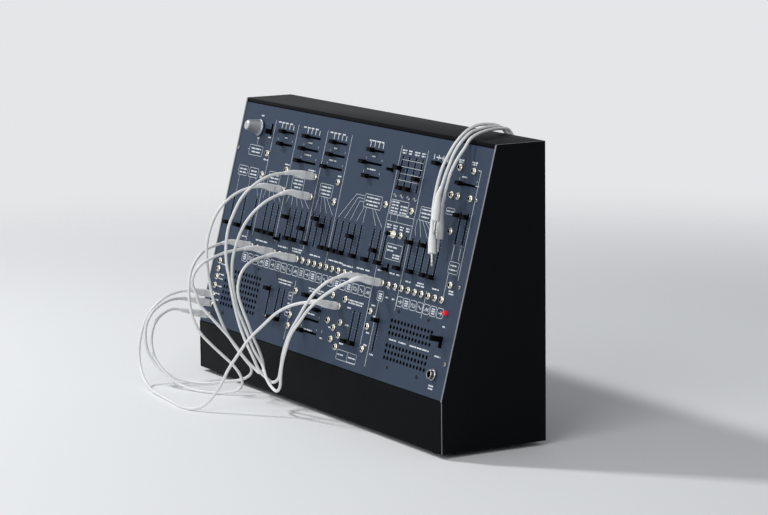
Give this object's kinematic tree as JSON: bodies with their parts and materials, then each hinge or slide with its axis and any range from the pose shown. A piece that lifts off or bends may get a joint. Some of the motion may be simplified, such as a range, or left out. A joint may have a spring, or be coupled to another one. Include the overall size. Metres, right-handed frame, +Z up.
{
  "type": "modular synthesizer",
  "caption": "Wedge-shaped desktop modular synthesizer with a leaning panel of sliding caps, jack sockets, a tall knob, speaker grilles and white patch cords plugged in and hung over the top.",
  "frame": {"origin": "on the surface that the feet stand on, under the middle of the bounding box of everything but the patch cords", "axes": "+X to the right along the front, +Y to the back, +Z up; the panel leans back by 14.7 degrees from +Z towards +Y"},
  "size_m": [0.57, 0.2607, 0.3426],
  "materials": {
    "case_black": "satin powder coat",
    "panel_blue": "satin paint with white print",
    "foot_rubber": "matte",
    "board_green": "solder mask",
    "cap_black": "matte moulded",
    "jack_steel": "nickel plated",
    "lamp_red": "diffused lens",
    "speaker_black": "matte",
    "tank_steel": "zinc plated",
    "supply_black": "moulded",
    "cord_white": "soft satin"
  },
  "bodies": {
    "case": {"side_panel_left": "case_black", "side_panel_right": "case_black", "top_panel": "case_black", "base_tray": "case_black", "back_panel": "case_black", "foot_front_left": "foot_rubber", "foot_front_right": "foot_rubber", "foot_rear_left": "foot_rubber", "foot_rear_right": "foot_rubber", "front_panel": "panel_blue", "control_board": "board_green", "headphone_jack": "jack_steel", "power_led": "lamp_red", "speaker_left": "speaker_black", "speaker_right": "speaker_black", "reverb_tank": "tank_steel", "power_supply": "supply_black", "patch_cord_1": "cord_white", "patch_cord_2": "cord_white", "patch_cord_3": "cord_white", "patch_cord_4": "cord_white", "patch_cord_5": "cord_white", "patch_cord_6": "cord_white", "spare_cord_1": "cord_white", "spare_cord_2": "cord_white", "spare_cord_3": "cord_white"},
    "knob": {"gain_knob": "cap_black"},
    "range_lever": {"range_switch": "cap_black"},
    "mode_lever": {"mode_switch": "cap_black"},
    "filter_lever": {"filter_switch": "cap_black"},
    "power_lever": {"power_switch": "cap_black"},
    "button": {"gate_button": "cap_black"},
    "cap_01": {"slider_column_01": "cap_black"},
    "cap_03": {"slider_column_03": "cap_black"},
    "cap_05": {"slider_column_05": "cap_black"},
    "cap_07": {"slider_column_07": "cap_black"},
    "cap_08": {"slider_column_08": "cap_black"},
    "cap_09": {"slider_column_09": "cap_black"},
    "cap_11": {"slider_column_11": "cap_black"},
    "cap_12": {"slider_column_12": "cap_black"},
    "cap_13": {"slider_column_13": "cap_black"},
    "cap_14": {"slider_column_14": "cap_black"},
    "cap_15": {"slider_column_15": "cap_black"},
    "cap_16": {"slider_column_16": "cap_black"},
    "cap_17": {"slider_column_17": "cap_black"},
    "cap_18": {"slider_column_18": "cap_black"},
    "cap_19": {"slider_column_19": "cap_black"},
    "cap_20": {"slider_column_20": "cap_black"},
    "cap_21": {"slider_column_21": "cap_black"},
    "cap_22": {"slider_column_22": "cap_black"},
    "cap_23": {"slider_column_23": "cap_black"},
    "cap_25": {"slider_column_25": "cap_black"},
    "cap_26": {"slider_column_26": "cap_black"},
    "cap_27": {"slider_column_27": "cap_black"},
    "cap_30": {"slider_column_30": "cap_black"},
    "cap_31": {"slider_column_31": "cap_black"},
    "cap_32": {"slider_column_32": "cap_black"},
    "cap_33": {"slider_column_33": "cap_black"},
    "cap_34": {"slider_column_34": "cap_black"},
    "cap_35": {"slider_column_35": "cap_black"}
  },
  "joints": [
    {"name": "knob_turn", "type": "hinge", "parent": "case", "child": "knob", "pos_m": [-0.23513, -0.00295, 0.29695], "axis": [0, -0.9674, 0.2532], "range_deg": [-150, 150]},
    {"name": "range_slide", "type": "slide", "parent": "case", "child": "range_lever", "axis": [0, 0.2532, 0.9674], "range_m": [0, 0.0065]},
    {"name": "mode_slide", "type": "slide", "parent": "case", "child": "mode_lever", "axis": [0, 0.2532, 0.9674], "range_m": [0, 0.004]},
    {"name": "filter_slide", "type": "slide", "parent": "case", "child": "filter_lever", "axis": [0, 0.2532, 0.9674], "range_m": [0, 0.004]},
    {"name": "power_slide", "type": "slide", "parent": "case", "child": "power_lever", "axis": [0, 0.2532, 0.9674], "range_m": [-0.006, 0]},
    {"name": "button_press", "type": "slide", "parent": "case", "child": "button", "axis": [0, 0.9674, -0.2532], "range_m": [0, 0.0015], "stiffness_N_per_m": 200},
    {"name": "slide_01", "type": "slide", "parent": "case", "child": "cap_01", "axis": [0, 0.2532, 0.9674], "range_m": [0, 0.0335]},
    {"name": "slide_03", "type": "slide", "parent": "case", "child": "cap_03", "axis": [0, 0.2532, 0.9674], "range_m": [0, 0.0335]},
    {"name": "slide_05", "type": "slide", "parent": "case", "child": "cap_05", "axis": [0, 0.2532, 0.9674], "range_m": [0, 0.0335]},
    {"name": "slide_07", "type": "slide", "parent": "case", "child": "cap_07", "axis": [0, 0.2532, 0.9674], "range_m": [0, 0.0335]},
    {"name": "slide_08", "type": "slide", "parent": "case", "child": "cap_08", "axis": [0, 0.2532, 0.9674], "range_m": [0, 0.0335]},
    {"name": "slide_09", "type": "slide", "parent": "case", "child": "cap_09", "axis": [0, 0.2532, 0.9674], "range_m": [0, 0.0335]},
    {"name": "slide_11", "type": "slide", "parent": "case", "child": "cap_11", "axis": [0, 0.2532, 0.9674], "range_m": [-0.0238, 0.0097]},
    {"name": "slide_12", "type": "slide", "parent": "case", "child": "cap_12", "axis": [0, 0.2532, 0.9674], "range_m": [0, 0.0335]},
    {"name": "slide_13", "type": "slide", "parent": "case", "child": "cap_13", "axis": [0, 0.2532, 0.9674], "range_m": [0, 0.0335]},
    {"name": "slide_14", "type": "slide", "parent": "case", "child": "cap_14", "axis": [0, 0.2532, 0.9674], "range_m": [-0.0151, 0.0184]},
    {"name": "slide_15", "type": "slide", "parent": "case", "child": "cap_15", "axis": [0, 0.2532, 0.9674], "range_m": [0, 0.0335]},
    {"name": "slide_16", "type": "slide", "parent": "case", "child": "cap_16", "axis": [0, 0.2532, 0.9674], "range_m": [-0.0302, 0.0033]},
    {"name": "slide_17", "type": "slide", "parent": "case", "child": "cap_17", "axis": [0, 0.2532, 0.9674], "range_m": [-0.0241, 0.0094]},
    {"name": "slide_18", "type": "slide", "parent": "case", "child": "cap_18", "axis": [0, 0.2532, 0.9674], "range_m": [0, 0.0335]},
    {"name": "slide_19", "type": "slide", "parent": "case", "child": "cap_19", "axis": [0, 0.2532, 0.9674], "range_m": [0, 0.0335]},
    {"name": "slide_20", "type": "slide", "parent": "case", "child": "cap_20", "axis": [0, 0.2532, 0.9674], "range_m": [0, 0.0335]},
    {"name": "slide_21", "type": "slide", "parent": "case", "child": "cap_21", "axis": [0, 0.2532, 0.9674], "range_m": [0, 0.0335]},
    {"name": "slide_22", "type": "slide", "parent": "case", "child": "cap_22", "axis": [0, 0.2532, 0.9674], "range_m": [-0.0208, 0.0127]},
    {"name": "slide_23", "type": "slide", "parent": "case", "child": "cap_23", "axis": [0, 0.2532, 0.9674], "range_m": [0, 0.0335]},
    {"name": "slide_25", "type": "slide", "parent": "case", "child": "cap_25", "axis": [0, 0.2532, 0.9674], "range_m": [0, 0.0335]},
    {"name": "slide_26", "type": "slide", "parent": "case", "child": "cap_26", "axis": [0, 0.2532, 0.9674], "range_m": [-0.0121, 0.0214]},
    {"name": "slide_27", "type": "slide", "parent": "case", "child": "cap_27", "axis": [0, 0.2532, 0.9674], "range_m": [0, 0.0335]},
    {"name": "slide_30", "type": "slide", "parent": "case", "child": "cap_30", "axis": [0, 0.2532, 0.9674], "range_m": [0, 0.0335]},
    {"name": "slide_31", "type": "slide", "parent": "case", "child": "cap_31", "axis": [0, 0.2532, 0.9674], "range_m": [-0.0305, 0.003]},
    {"name": "slide_32", "type": "slide", "parent": "case", "child": "cap_32", "axis": [0, 0.2532, 0.9674], "range_m": [0, 0.0335]},
    {"name": "slide_33", "type": "slide", "parent": "case", "child": "cap_33", "axis": [0, 0.2532, 0.9674], "range_m": [-0.031, 0.0025]},
    {"name": "slide_34", "type": "slide", "parent": "case", "child": "cap_34", "axis": [0, 0.2532, 0.9674], "range_m": [0, 0.0335]},
    {"name": "slide_35", "type": "slide", "parent": "case", "child": "cap_35", "axis": [0, 0.2532, 0.9674], "range_m": [0, 0.0335]}
  ]
}
